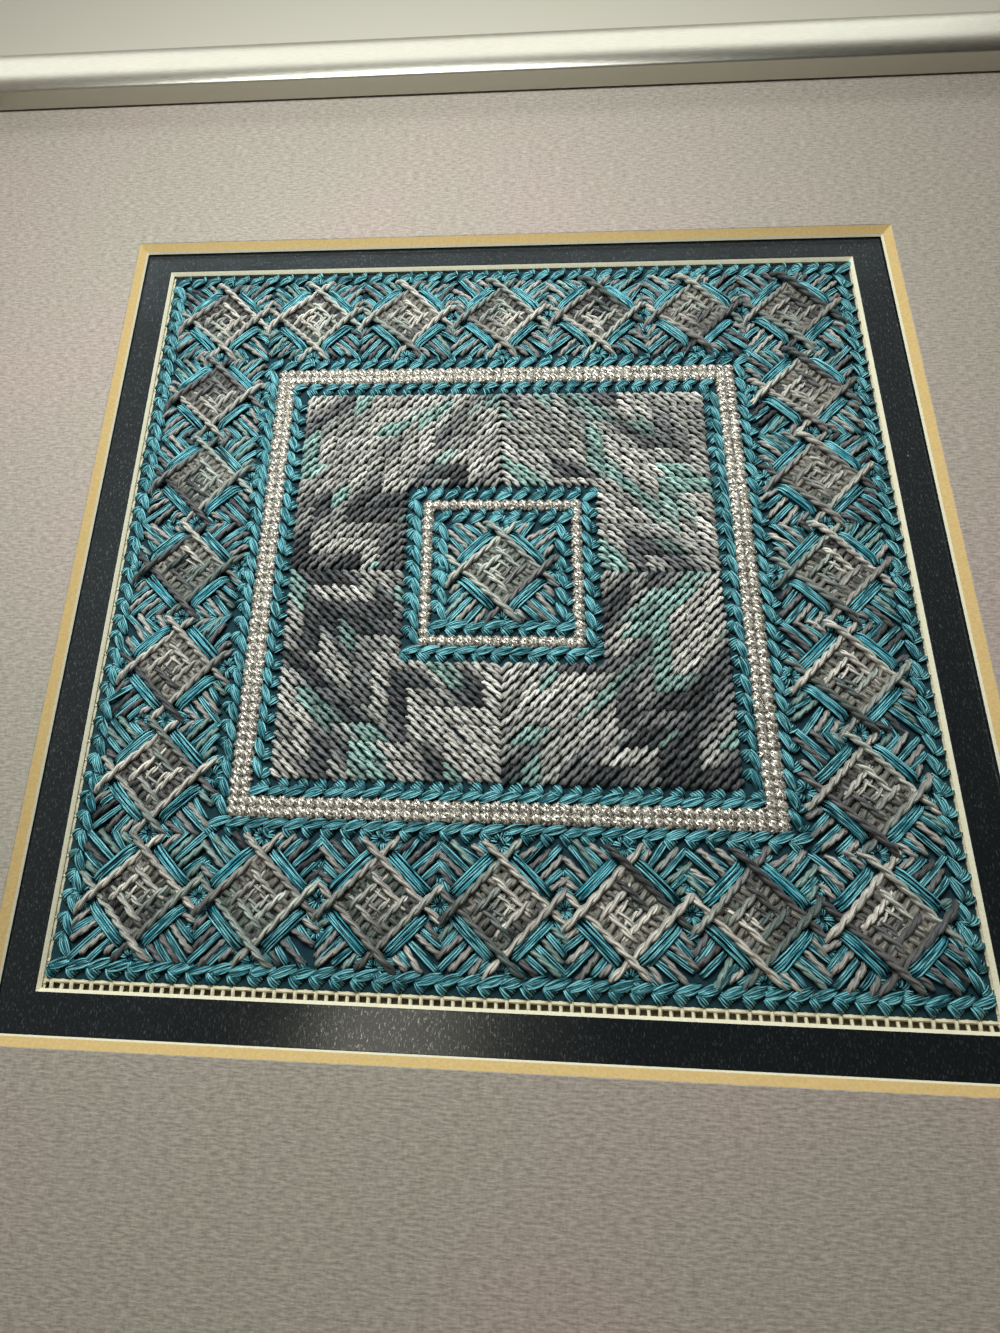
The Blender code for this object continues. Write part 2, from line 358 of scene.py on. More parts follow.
def black_foil():
    """Black metal foil, brushed: fairly glossy, with hairline scratches, faint pale scuffs 0.6 mm long and
    0.2 mm wide, small white nicks and dust."""
    finish, tree, shader = new_finish("brushed black foil", Metallic=0.85)
    place = add_node(tree, "TexCoord").outputs["Object"]
    heights = []
    for scale in ((90, 6000, 1), (6000, 90, 1)):
        hair_at = add_node(tree, "Mapping", {"Vector": place, "Scale": scale})
        hair = add_node(tree, "TexNoise", {"Vector": hair_at.outputs["Vector"], "Scale": 1.0,
                                           "Detail": 2.0})
        heights.append(hair.outputs["Fac"])
    hairlines = add_node(tree, "Math", {0: heights[0], 1: heights[1]}, operation="ADD")
    smears = add_node(tree, "TexNoise", {"Vector": place, "Scale": 55.0, "Detail": 3.0})
    nick_cells = add_node(tree, "TexVoronoi", {"Vector": place, "Scale": 260.0})
    nicks = add_node(tree, "Math", {0: nick_cells.outputs["Distance"], 1: 0.045}, operation="LESS_THAN")
    rarity = add_node(tree, "SeparateColor", {0: nick_cells.outputs["Color"]})
    rare = add_node(tree, "Math", {0: rarity.outputs[0], 1: 0.93}, operation="GREATER_THAN")
    shown = add_node(tree, "Math", {0: nicks.outputs["Value"], 1: rare.outputs["Value"]},
                     operation="MULTIPLY")
    scuff_at = add_node(tree, "Mapping", {"Vector": place, "Scale": (5000, 1700, 1)})
    scuffs = add_node(tree, "TexNoise", {"Vector": scuff_at.outputs["Vector"], "Scale": 1.0, "Detail": 1.0,
                                         "Distortion": 0.8})
    scuffed = add_node(tree, "MapRange", {"Value": scuffs.outputs["Fac"], "From Min": 0.58,
                                          "From Max": 0.78, "To Max": 0.45})
    marks = add_node(tree, "Math", {0: shown.outputs["Value"], 1: scuffed.outputs["Result"]},
                     operation="MAXIMUM")
    colour = add_node(tree, "Mix", {0: marks.outputs["Value"], 6: linear_colour("434b4f"),
                                    7: linear_colour("b9c6d2")}, data_type="RGBA")
    rough = add_node(tree, "MapRange", {"Value": smears.outputs["Fac"], "From Min": 0.3, "From Max": 0.7,
                                        "To Min": 0.16, "To Max": 0.24})
    bump = add_node(tree, "Bump", {"Height": hairlines.outputs["Value"], "Strength": 0.25,
                                   "Distance": 0.00002})
    set_inputs(tree, shader, {"Base Color": colour.outputs[2], "Roughness": rough.outputs["Result"],
                              "Normal": bump.outputs["Normal"]})
    return finish


def cut_core(name, dark, pale):
    """The cut edge of mat board: matt, slightly rough paper pulp, with specks up to 0.4 mm across."""
    finish, tree, shader = new_finish(name, Roughness=0.85)
    place = add_node(tree, "TexCoord").outputs["Object"]
    pulp = add_node(tree, "TexNoise", {"Vector": place, "Scale": 2500.0, "Detail": 4.0})
    colour = add_node(tree, "Mix", {0: pulp.outputs["Fac"], 6: linear_colour(dark), 7: linear_colour(pale)},
                      data_type="RGBA")
    bump = add_node(tree, "Bump", {"Height": pulp.outputs["Fac"], "Strength": 0.5, "Distance": 0.00008})
    set_inputs(tree, shader, {"Base Color": colour.outputs[2], "Normal": bump.outputs["Normal"]})
    return finish


foil_edge = 0.00006
inner_points = rectangle_loops([
    (inner_half, inner_half, 0, 0, inner_low.z),
    (inner_half, inner_half, 0, 0, inner_high.z),
    (*inner_window, *inner_shift, inner_high.z),
    (*(inner_window - foil_edge), *inner_shift, inner_high.z - foil_edge),
    (*(inner_window - inner_bevel), *inner_shift, inner_low.z),
])
cream_core = cut_core("cream mat core", "d3cfb0", "f3f0da")
inner_mat = new_piece("foil_faced_mat", inner_points,
                      [loop_bridges([(0, 1), (1, 2), (2, 3)]), loop_bridges([(3, 4), (4, 0)])],
                      [black_foil(), cream_core], smooth_below=20.0)
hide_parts("inner_mat")


# Outer mat
# Four-ply board, 1.4 mm thick, faced with grey-beige paper that is embossed like linen. The bevel of its
# window shows a gold core with a thin cream backing paper under it.

outer_half = mat_high.x
outer_window = 0.06985
outer_thickness = mat_high.z - mat_low.z
face_paper = 0.00010
back_paper = 0.00040
back_paper_bevel = 0.00020


def linen_paper():
    """Rough matt paper: low ridges 1 mm long and 0.3 mm apart, with shorter ones square to them."""
    finish, tree, shader = new_finish("linen-embossed paper", Roughness=0.88)
    place = add_node(tree, "TexCoord").outputs["Object"]
    ribs = []
    for scale in ((800, 3000, 1), (3000, 1200, 1)):
        rib_at = add_node(tree, "Mapping", {"Vector": place, "Scale": scale})
        rib = add_node(tree, "TexNoise", {"Vector": rib_at.outputs["Vector"], "Scale": 1.0, "Detail": 2.0})
        ribs.append(rib.outputs["Fac"])
    weave = add_node(tree, "Mix", {0: 0.30, 2: ribs[0], 3: ribs[1]}, data_type="FLOAT")
    clouds = add_node(tree, "TexNoise", {"Vector": place, "Scale": 18.0, "Detail": 2.0})
    # Painted shade: the paper is darker in the hollows of the same ridges that the bump raises, and lighter
    # on their tops.
    tone = add_node(tree, "MapRange", {"Value": weave.outputs[0], "From Min": 0.35, "From Max": 0.65})
    paper = add_node(tree, "Mix", {0: tone.outputs["Result"], 6: linear_colour("938c86"),
                                   7: linear_colour("b8b1ab")}, data_type="RGBA")
    warm = add_node(tree, "MapRange", {"Value": clouds.outputs["Fac"], "From Min": 0.35, "From Max": 0.65})
    tinted = add_node(tree, "Mix", {0: warm.outputs["Result"], 6: linear_colour("f4f7ee"),
                                    7: linear_colour("fff6f4")}, data_type="RGBA")
    colour = add_node(tree, "Mix", {0: 1.0, 6: paper.outputs[2], 7: tinted.outputs[2]}, data_type="RGBA",
                      blend_type="MULTIPLY")
    bump = add_node(tree, "Bump", {"Height": weave.outputs[0], "Strength": 0.8, "Distance": 0.00016})
    set_inputs(tree, shader, {"Base Color": colour.outputs[2], "Normal": bump.outputs["Normal"]})
    return finish


outer_foot = outer_window - outer_thickness
outer_points = rectangle_loops([
    (outer_half, outer_half, 0, 0, mat_low.z),
    (outer_half, outer_half, 0, 0, mat_high.z),
    (outer_window, outer_window, 0, 0, mat_high.z),
    (outer_window - face_paper, outer_window - face_paper, 0, 0, mat_high.z - face_paper),
    (outer_foot + back_paper_bevel, outer_foot + back_paper_bevel, 0, 0, mat_low.z + back_paper),
    (outer_foot, outer_foot, 0, 0, mat_low.z),
])
gold_core = cut_core("gold mat core", "b99a5c", "d8c08a")
outer_mat = new_piece("linen_mat", outer_points,
                      [loop_bridges([(0, 1), (1, 2), (2, 3)]), loop_bridges([(3, 4)]),
                       loop_bridges([(4, 5), (5, 0)])],
                      [linen_paper(), gold_core, cream_core], smooth_below=20.0)
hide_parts("outer_mat")


# Braids
# Five square rings of long-legged cross stitch, two threads wide, in teal rayon floss. One half of the band
# shows long arms that lean along it, like a rope, the other half short steep ones, and they cover each
# other's upper ends.

dice = np.random.default_rng(18)
long_arms_outward = {0: -1, 14: -1, 18: 1, 33: -1, 36: -1}


def braid_arms(ring, outward_long, lean, is_long):
    """Ends of one kind of arm on a square ring, at the band's middle and at its edge, in threads. Along
    each side a long and a short arm meet in an arrow's tip every two threads, and the top sides' arms lean
    least. The ring is counted in from the worked edge."""
    middle = 43 - ring
    arms = []
    for along, across, outward, share in (((1, 0), (0, 1), 1, 0.65), ((1, 0), (0, 1), -1, 1),
                                          ((0, -1), (1, 0), 1, 0.9), ((0, -1), (1, 0), -1, 0.9)):
        axes = np.array([along, across], float)
        reach = middle - 1 + 2 * along[0]
        step = np.arange(1 - reach, reach, 2.0)
        way = outward * outward_long
        half = way if is_long else -way
        tip = step - way
        at_middle = np.stack([tip, 0 * step + outward * middle - 0.06 * half], axis=1)
        at_edge = np.stack([tip + way * lean * share, 0 * step + outward * middle + 0.78 * half], axis=1)
        arms.append(np.stack([at_middle @ axes, at_edge @ axes], axis=1))
    return np.concatenate(arms)


def arm_paths(ends, rise, steps):
    """Centre lines of arms. The height over the canvas is rise x sin(pi (0.2 + 0.8 t)): an arm comes out
    from under the others at the middle, is highest soon after, and goes down into its hole at the edge."""
    ends = (ends + dice.normal(0, 0.045, ends.shape)) * thread + worked_shift
    t = np.linspace(0, 1, steps)
    plan = ends[:, :1] + (ends[:, 1:] - ends[:, :1]) * t[None, :, None]
    arch = rise * np.sin(math.pi * (0.2 + 0.8 * t)) * dice.normal(1, 0.05, (len(ends), 1))
    height = canvas_top - 0.0001 + arch
    return np.concatenate([plan, height[..., None]], axis=2)


def stitch_paths(starts, ends, rise, ramp, steps):
    """Centre lines from hole to hole, straight in plan. The height over the canvas is
    rise x (1 - (1 - d / ramp)^2), where d is the distance from the nearer end, at most the ramp, so a
    thread climbs steeply and then lies flat. Holes are in threads from the middle of the work, and each
    end is a little off, with a spread of 0.06."""
    starts = (starts + dice.normal(0, 0.06, starts.shape)) * thread + worked_shift
    ends = (ends + dice.normal(0, 0.06, ends.shape)) * thread + worked_shift
    t = (1 - np.cos(math.pi * np.linspace(0, 1, steps))) / 2
    plan = starts[:, None] + (ends - starts)[:, None] * t[None, :, None]
    length = np.linalg.norm(ends - starts, axis=1)[:, None]
    near = np.minimum(t, 1 - t)[None] * length
    climb = 1 - (1 - np.clip(near / ramp, 0, 1)) ** 2
    height = canvas_top - 0.00015 + rise * climb * dice.normal(1, 0.05, (len(starts), 1))
    return np.concatenate([plan, height[..., None]], axis=2)


def side_by_side(paths, places, spread):
    """Copies of each centre line beside it, at places in metres, times the spread at its start, middle and
    end."""
    steps = paths.shape[1]
    chord = paths[:, -1, :2] - paths[:, 0, :2]
    across = np.stack([-chord[:, 1], chord[:, 0]], axis=1) / np.linalg.norm(chord, axis=1, keepdims=True)
    swell = np.interp(np.linspace(0, 1, steps), (0, 0.5, 1), spread)
    copies = np.repeat(paths[:, None], len(places), axis=1)
    copies[..., :2] += across[:, None, None] * (np.asarray(places)[:, None] * swell)[None, :, :, None]
    return copies.reshape(-1, steps, 3)


def strand_colour(tree, scale, darkest, side_shade):
    """The thread's dye with painted shade: darker in long grooves and towards the sides of the strand.
    scale is the grooves' number to a metre along and across, and the painted shade runs from 1 at a
    strand's crest to side_shade 0.15 mm beside it. Gives the outputs for the shaded colour, the crest and
    the groove height, and for the lay that they read."""
    # The dye attribute already holds the painted shade at the threads' ends.
    dye = add_node(tree, "Attribute", attribute_name="dye")
    lay = add_node(tree, "Attribute", attribute_name="lay").outputs["Vector"]
    groove_at = add_node(tree, "Mapping", {"Vector": lay, "Scale": (*scale, 3.7)})
    grooves = add_node(tree, "TexNoise", {"Vector": groove_at.outputs["Vector"], "Scale": 1.0,
                                          "Detail": 2.0, "Distortion": 0.4})
    groove_shade = add_node(tree, "MapRange", {"Value": grooves.outputs["Fac"], "From Min": 0.40, "From Max": 0.60,
                                        "To Min": darkest, "To Max": 1.2})
    parts = add_node(tree, "SeparateXYZ", {"Vector": lay})
    aside = add_node(tree, "Math", {0: parts.outputs["Y"]}, operation="ABSOLUTE")
    crest = add_node(tree, "MapRange", {"Value": aside.outputs["Value"], "From Min": 0.00003,
                                        "From Max": 0.00015, "To Min": 1.0, "To Max": side_shade})
    # Painted shade: the grooves and the strand's sides darken the dye.
    groove_and_side_shade = add_node(tree, "Math", {0: groove_shade.outputs["Result"], 1: crest.outputs["Result"]},
                      operation="MULTIPLY")
    shaded_dye = add_node(tree, "VectorMath", {0: dye.outputs["Color"], 1: groove_and_side_shade.outputs["Value"]},
                    operation="MULTIPLY")
    return shaded_dye.outputs["Vector"], crest.outputs["Result"], grooves.outputs["Fac"], lay


def rayon_floss(name):
    """Rayon floss: smooth and lustrous filaments, with painted shade in grooves 0.15 mm apart and at the
    strands' sides. A painted pale highlight lies along the crest of a strand, in patches 2 to 3 mm long."""
    finish, tree, shader = new_finish(name, Roughness=0.34, Specular_IOR_Level=0.8,
                                      Specular_Tint=linear_colour("a8f0f6"))
    # Painted shade down to 0.1 of the dye in the grooves and at the strands' sides.
    shaded_dye, crest, grooves, lay = strand_colour(tree, (350, 6500), 0.10, 0.1)
    gleam_at = add_node(tree, "Mapping", {"Vector": lay, "Scale": (380, 5000, 7.3)})
    gleams = add_node(tree, "TexNoise", {"Vector": gleam_at.outputs["Vector"], "Scale": 1.0, "Detail": 1.0})
    pale = add_node(tree, "MapRange", {"Value": gleams.outputs["Fac"], "From Min": 0.43, "From Max": 0.58})
    painted_gleam = add_node(tree, "Math", {0: pale.outputs["Result"], 1: crest}, operation="MULTIPLY")
    # Painted highlight: pale teal 8adbe8 mixed into the colour on the strands' crests.
    colour = add_node(tree, "Mix", {0: painted_gleam.outputs["Value"], 6: shaded_dye, 7: linear_colour("8adbe8")},
                      data_type="RGBA")
    bump = add_node(tree, "Bump", {"Height": grooves, "Strength": 1.0, "Distance": 0.00020})
    set_inputs(tree, shader, {"Base Color": colour.outputs[2], "Normal": bump.outputs["Normal"]})
    return finish


def stitched_piece(name, paths, half_width, half_height, sides, colours, end_shade, finish):
    """One mesh of all the threads of a kind, with the dye and the lay that its finish reads; the dye
    carries painted shade. A thread has one colour, or two that blend from its start to its end. Painted
    shade darkens it towards both ends, where it lies between its neighbours, by end_shade x exp(-distance /
    0.5 mm)."""
    points, quads, caps, lay = thread_tubes(paths, half_width, half_height, sides)
    colours = np.reshape(colours, (len(paths), -1, 3))
    line = lay[:, 2].astype(int)
    length = np.linalg.norm(np.diff(paths, axis=1), axis=2).sum(axis=1)[line]
    blend = np.clip(lay[:, 0] / length, 0, 1)[:, None]
    tint = colours[line, 0] * (1 - blend) + colours[line, -1] * blend
    near = np.clip(np.minimum(lay[:, 0], length - lay[:, 0]), 0, None)
    # Painted shade towards both ends of each thread.
    shade = 1 - end_shade * np.exp(-near / 0.0005)
    piece = new_piece(name, points, [quads, caps], [finish])
    # The dye attribute holds the dye times this painted shade.
    dye = np.concatenate([tint * shade[:, None], np.ones((len(line), 1))], axis=1)
    set_attribute(piece, "dye", "FLOAT_COLOR", dye)
    set_attribute(piece, "lay", "FLOAT_VECTOR", lay)
    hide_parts("needlepoint_canvas")
    return piece


teal = np.array(linear_colour("136f83")[:3])
teal_floss = rayon_floss("teal rayon floss")
arm_steps = 6
arm_radius = 0.00024 * (0.6 + 0.4 * np.sin(math.pi * np.linspace(0, 1, arm_steps)))
for kind, lean, is_long, rise, places, spread in (
        ("long", 2.4, True, 0.00052, (-0.42, -0.21, 0, 0.21, 0.42), (0.5, 1.0, 0.45)),
        ("short", 0.9, False, 0.00042, (-0.56, -0.28, 0, 0.28, 0.56), (0.5, 0.9, 0.9))):
    arms = np.concatenate([braid_arms(ring, outward, lean, is_long)
                           for ring, outward in long_arms_outward.items()])
    bundles = side_by_side(arm_paths(arms, rise, arm_steps), np.array(places) * thread, spread)
    bundles[..., 2] += dice.normal(0, 0.00006, (len(bundles), 1))
    tone = np.repeat(dice.normal(1.0, 0.10, len(arms)), len(places)) * dice.normal(1.0, 0.15, len(bundles))
    stitched_piece("teal_" + kind + "_arms", bundles, half_width=arm_radius,
                                 half_height=arm_radius, sides=4, colours=teal * tone[:, None],
                                 end_shade=0.85, finish=teal_floss)


# Metal rows
# A band two threads wide and a line one thread wide, in a silver metal-wrapped braid. Each stitch is a
# small cross over one thread of the canvas, and its flat wire shows separate glints, partly painted into
# its colour.

def silver_braid():
    """Metal-wrapped braid: flat silver wire that turns round a dull core. Pale cells 0.25 mm long and 0.12
    mm wide, partly the silver wire and partly painted glints, lie between grey turns."""
    finish, tree, shader = new_finish("silver metallic braid", Metallic=0.6, Roughness=0.28)
    lay = add_node(tree, "Attribute", attribute_name="lay").outputs["Vector"]
    turn_at = add_node(tree, "Mapping", {"Vector": lay, "Scale": (4000, 8000, 5.3)})
    turns = add_node(tree, "TexVoronoi", {"Vector": turn_at.outputs["Vector"], "Scale": 1.0})
    glint = add_node(tree, "SeparateColor", {0: turns.outputs["Color"]})
    wire_and_painted_glint = add_node(tree, "MapRange", {"Value": glint.outputs[0], "From Min": 0.35, "From Max": 0.55})
    # Pale cells: partly silver wire and partly painted glints.
    colour = add_node(tree, "Mix", {0: wire_and_painted_glint.outputs["Result"], 6: linear_colour("7d766a"),
                                    7: linear_colour("fffdf3")}, data_type="RGBA")
    bump = add_node(tree, "Bump", {"Height": glint.outputs[1], "Strength": 1.0, "Distance": 0.00014})
    set_inputs(tree, shader, {"Base Color": colour.outputs[2], "Normal": bump.outputs["Normal"]})
    return finish


def ring_crossings(row):
    """The lower left holes, in threads from the middle, of every thread crossing on a square ring one
    thread wide, counted in from the worked edge."""
    reach = 44 - row
    step = np.arange(-reach, reach)
    inner = step[1:-1]
    return np.concatenate([
        np.stack([step, np.full(len(step), -reach)], axis=1),
        np.stack([step, np.full(len(step), reach - 1)], axis=1),
        np.stack([np.full(len(inner), -reach), inner], axis=1),
        np.stack([np.full(len(inner), reach - 1), inner], axis=1),
    ]).astype(float)


knots = np.concatenate([ring_crossings(row) for row in (16, 17, 35)])
knot_lines = np.concatenate([stitch_paths(knots + 0.06, knots + 0.94, rise=0.00042, ramp=0.0006, steps=5),
                             stitch_paths(knots + (0.94, 0.06), knots + (0.06, 0.94), rise=0.00056,
                                          ramp=0.0006, steps=5)])
knot_paths = side_by_side(knot_lines, np.array([-0.22, 0.22]) * thread, (0.9, 1, 0.9))
metal_rows = stitched_piece("silver_rows", knot_paths, half_width=0.00036, half_height=0.00028, sides=4,
                            colours=np.ones((len(knot_paths), 3)), end_shade=0.0, finish=silver_braid())


# Field
# Stepped diagonal stitches over two threads, in overdyed cotton: each is a soft two-ply cord. The four
# quarters slant towards and away from the middle, and the dye changes along the thread, so colours lie in
# small pools on each step.

field_outer = 24
field_inner = 11
step_run = 6
grey_stops = (0.0, 0.25, 0.45, 0.6, 1.0)
grey_codes = ("272b30", "474c51", "85888a", "b9bbb6", "e4e3dc")
grey_dyes = np.array([linear_colour(code)[:3] for code in grey_codes])
turquoise_dye = np.array(linear_colour("a2cdc5")[:3])


def drift(along, across, seed):
    """Smooth random values from 0 to 1, one grid step to each unit: random values at whole numbers, with
    the blend 3f^2 - 2f^3 between them. The grid repeats every 64 units."""
    grid = np.random.default_rng(seed).random((64, 64))
    i = np.floor(along).astype(int)
    j = np.floor(across).astype(int)
    f = (along - i) ** 2 * (3 - 2 * (along - i))
    g = (across - j) ** 2 * (3 - 2 * (across - j))
    near = grid[j % 64, i % 64] * (1 - f) + grid[j % 64, (i + 1) % 64] * f
    far = grid[(j + 1) % 64, i % 64] * (1 - f) + grid[(j + 1) % 64, (i + 1) % 64] * f
    return near * (1 - g) + far * g


def overdye(along, row, seed, contrast=2.0, pools=1.0):
    """Thread colours by the place along the thread, in stitches, and the row: greys from charcoal to stone,
    with pools of pale turquoise where a second drift runs high. A pool is some 5 stitches long and up to 2
    rows wide, and pools is the share of turquoise in it."""
    tone = 0.68 * drift(along / 4.2, row / 1.2, seed) + 0.32 * drift(along / 13, row / 6, seed + 1)
    tone = np.clip((tone - 0.5) * contrast + 0.61, 0, 1)
    greys = np.stack([np.interp(tone, grey_stops, grey_dyes[:, channel]) for channel in range(3)], axis=1)
    pool = pools * np.clip((drift(along / 3.6, row / 1.5, seed + 2) - 0.72) / 0.06, 0, 1)[:, None]
    return greys * (1 - pool) + turquoise_dye * (0.35 + 0.75 * tone[:, None]) * pool


def cotton_cord(name):
    """Soft twisted cotton with a low sheen: its fibres lie 0.2 mm apart and part in soft grooves.
    Painted shade darkens the grooves and the sides of each strand.
    """
    finish, tree, shader = new_finish(name, Roughness=0.5, Sheen_Weight=0.15, Sheen_Roughness=0.5)
    # Painted shade down to 0.6 in the grooves and 0.55 at the strands' sides.
    shaded_dye, _, fibres, _ = strand_colour(tree, (600, 5500), 0.6, 0.55)
    bump = add_node(tree, "Bump", {"Height": fibres, "Strength": 0.8, "Distance": 0.00015})
    set_inputs(tree, shader, {"Base Color": shaded_dye, "Normal": bump.outputs["Normal"]})
    return finish


grey_cotton = cotton_cord("overdyed grey cotton")


def cord_piece(name, lines, plies, ply_radius, half_width, half_height, pitch, sides, colours, end_shade):
    """Plied cords on the given centre lines. A ply's centre is the line's
    + ply radius x (cos p across + sin p up), where p falls by a full turn each pitch, and the plies share
    the turn equally."""
    chord = lines[:, -1] - lines[:, 0]
    across = np.stack([-chord[:, 1], chord[:, 0], 0 * chord[:, 0]], axis=1)
    across /= np.linalg.norm(across, axis=1, keepdims=True)
    along = np.cumsum(np.linalg.norm(np.diff(lines, axis=1, prepend=lines[:, :1]), axis=2), axis=1)
    pitches = pitch * dice.uniform(0.8, 1.25, (len(lines), 1))
    turn = dice.uniform(0, 2 * math.pi, (len(lines), 1)) - 2 * math.pi * along / pitches
    turn = turn[:, None] + 2 * math.pi * np.arange(plies)[:, None] / plies
    aside = across[:, None, None] * (ply_radius * np.cos(turn))[..., None]
    lift = np.array([0, 0, 1]) * (ply_radius * np.sin(turn))[..., None]
    paths = (lines[:, None] + aside + lift).reshape(-1, *lines.shape[1:])
    return stitched_piece(name, paths, half_width, half_height, sides, np.repeat(colours, plies, axis=0),
                          end_shade, grey_cotton)


def in_quarter(holes):
    """Whether the cell above and right of each hole is in the upper left quarter, an L round the centre."""
    x, y = holes[:, 0], holes[:, 1]
    inside = (x >= -field_outer) & (x < 0) & (y >= 0) & (y < field_outer)
    return inside & ~((x >= -field_inner) & (y < field_inner))


place = np.arange(-10 * step_run, 10 * step_run)
stair, within = np.divmod(place, 2 * step_run)
path_x = stair * step_run + np.minimum(within, step_run)
path_y = -stair * step_run - np.maximum(within - step_run, 0)
rows = np.arange(-30, 30)[:, None]
holes = np.stack([(path_x + 2 * rows).ravel(), (path_y + 2 * rows).ravel()], axis=1)
along_path = np.broadcast_to(place, (60, len(place))).ravel()
path_number = np.broadcast_to(rows, (60, len(place))).ravel()
first_half = in_quarter(holes)
second_half = in_quarter(holes + 1)
kept = first_half | second_half
quarter_starts = (holes + ~first_half[:, None])[kept].astype(float)
quarter_ends = (holes + 1 + second_half[:, None])[kept].astype(float)
field_lines = []
field_dye = []
for number, flip in enumerate(((1, 1), (-1, 1), (1, -1), (-1, -1))):
    field_lines.append(stitch_paths(quarter_starts * flip, quarter_ends * flip, rise=0.00060, ramp=0.0008,
                                    steps=8))
    field_dye.append(overdye(along_path[kept], path_number[kept], 10 * number + 3))
field_dye = np.concatenate(field_dye)
field_dye *= dice.normal(1.0, 0.22, (len(field_dye), 1)).clip(0.4, 1.6)
field = cord_piece("stepped_field", np.concatenate(field_lines), plies=2, ply_radius=0.00018,
                   half_width=0.00033, half_height=0.00028, pitch=0.0032, sides=5, colours=field_dye,
                   end_shade=0.25)


# Fans and eyelets
# The ground of the wide border. Outside each side of a lozenge, short stitches stand square to it out to
# the edge of its 12-thread cell, alternately overdyed cotton and teal floss. Small teal eyelets fill where
# two lozenges nearly meet.

cell = 12
ring_reach = 36
border_steps = np.arange(-ring_reach, ring_reach + 1, cell)
ring_cells = [(x, y) for x in border_steps for y in border_steps if max(abs(x), abs(y)) == ring_reach]
cells = np.array(ring_cells + [(0, 0)], float)
diagonals = np.array([(1, 1), (-1, 1), (-1, -1), (1, -1)]) / math.sqrt(2)


def square_to_sides(offsets, inner, outer):
    """Starts and ends, in threads, of stitches square to the four sides of every lozenge, at offsets along
    the side. One runs from the inner distance to the outer one, or to the edge of the cell, at
    6 sqrt(2) - |offset|, if nearer."""
    starts = []
    ends = []
    for out in diagonals:
        side = np.array([-out[1], out[0]])
        for offset in offsets:
            starts.append(cells + out * inner + side * offset)
            ends.append(cells + out * min(outer, cell / math.sqrt(2) - abs(offset)) + side * offset)
    return np.concatenate(starts), np.concatenate(ends)


diagonal_pitch = math.sqrt(0.5)
grey_starts, grey_ends = square_to_sides(np.array([-3, -1, 1, 3]) * diagonal_pitch, 4.5, 9)
grey_ends += dice.normal(0, 0.3, grey_ends.shape)
fan_lines = stitch_paths(grey_starts, grey_ends, rise=0.00062, ramp=0.0009, steps=8)
fan_dye = overdye(grey_starts[:, 0] * 1.3, grey_starts[:, 1] * 1.1, 71, 1.5) * 0.85
grey_fans = cord_piece("grey_fans", fan_lines, plies=2, ply_radius=0.00018, half_width=0.00034,
                       half_height=0.00030, pitch=0.0036, sides=5, colours=fan_dye, end_shade=0.5)

teal_starts, teal_ends = square_to_sides(np.array([-4, -2, 0, 2, 4]) * diagonal_pitch, 4.5, 9)
teal_ends += dice.normal(0, 0.3, teal_ends.shape)
cell_sides = np.concatenate([cells + 6 * np.array(side) for side in ((1, 0), (-1, 0), (0, 1), (0, -1))])
eyes, uses = np.unique(cell_sides, axis=0, return_counts=True)
shared = eyes[uses == 2]
on_upright = (shared[:, :1] % cell == cell / 2)
off = np.where(on_upright, (0, 2.8), (2.8, 0))
eyes = np.concatenate([eyes, shared + off, shared - off])
eye_radius = np.repeat([1.1, 0.8], [len(eyes) - 2 * len(shared), 2 * len(shared)])[:, None, None]
spoke_count = 9
spokes = np.arange(spoke_count) * 2 * math.pi / spoke_count
rays = np.stack([np.cos(spokes), np.sin(spokes)], axis=1)
eye_lines = stitch_paths((eyes[:, None] + 0.4 * rays).reshape(-1, 2),
                         (eyes[:, None] + eye_radius * rays).reshape(-1, 2), rise=0.00055, ramp=0.0007,
                         steps=6)
teal_fan_lines = stitch_paths(teal_starts, teal_ends, rise=0.00050, ramp=0.0009, steps=6)
fan_strands = np.array([-0.24, 0, 0.24]) * thread
eye_strands = np.array([-0.12, 0.12]) * thread
teal_fan_paths = np.concatenate([side_by_side(teal_fan_lines, fan_strands, (0.6, 1, 0.8)),
                                 side_by_side(eye_lines, eye_strands, (0.6, 1, 1))])
fan_tone = dice.normal(0.8, 0.2, len(teal_fan_paths))
teal_fans = stitched_piece("teal_fans", teal_fan_paths, half_width=0.00022, half_height=0.00023, sides=4,
                           colours=teal * fan_tone[:, None], end_shade=0.8, finish=teal_floss)


# Satin bars
# Beside each side of a lozenge, five long strands of teal floss lie together over four diagonal threads.
# Their distances are in threads from the middle of the lozenge.

bar_distance = 4.05
bar_spacing = 0.22
bar_half = 2.55
bar_starts = []
bar_ends = []
for out in diagonals:
    side = np.array([-out[1], out[0]])
    for place in (-2, -1, 0, 1, 2):
        strand_middle = cells + out * (bar_distance + bar_spacing * place)
        bar_starts.append(strand_middle - side * bar_half)
        bar_ends.append(strand_middle + side * bar_half)
bar_lines = stitch_paths(np.concatenate(bar_starts), np.concatenate(bar_ends), rise=0.00095, ramp=0.0016,
                         steps=9)
# Painted highlight and shade: each bar is lit or dark at random at its start and at its end, blending along
# it; each strand also varies at random in tone.
bar_tone_and_light = np.tile(dice.uniform(0.45, 2.0, (4, 1, len(cells), 2)), (1, 5, 1, 1)).reshape(-1, 2)
bar_tone_and_light *= dice.normal(1.0, 0.2, (len(bar_lines), 1))
bar_dye_and_light = teal * bar_tone_and_light[..., None]
bars = stitched_piece("teal_satin_bars", bar_lines, half_width=0.00019, half_height=0.00022, sides=5,
                      colours=bar_dye_and_light, end_shade=0.7, finish=teal_floss)


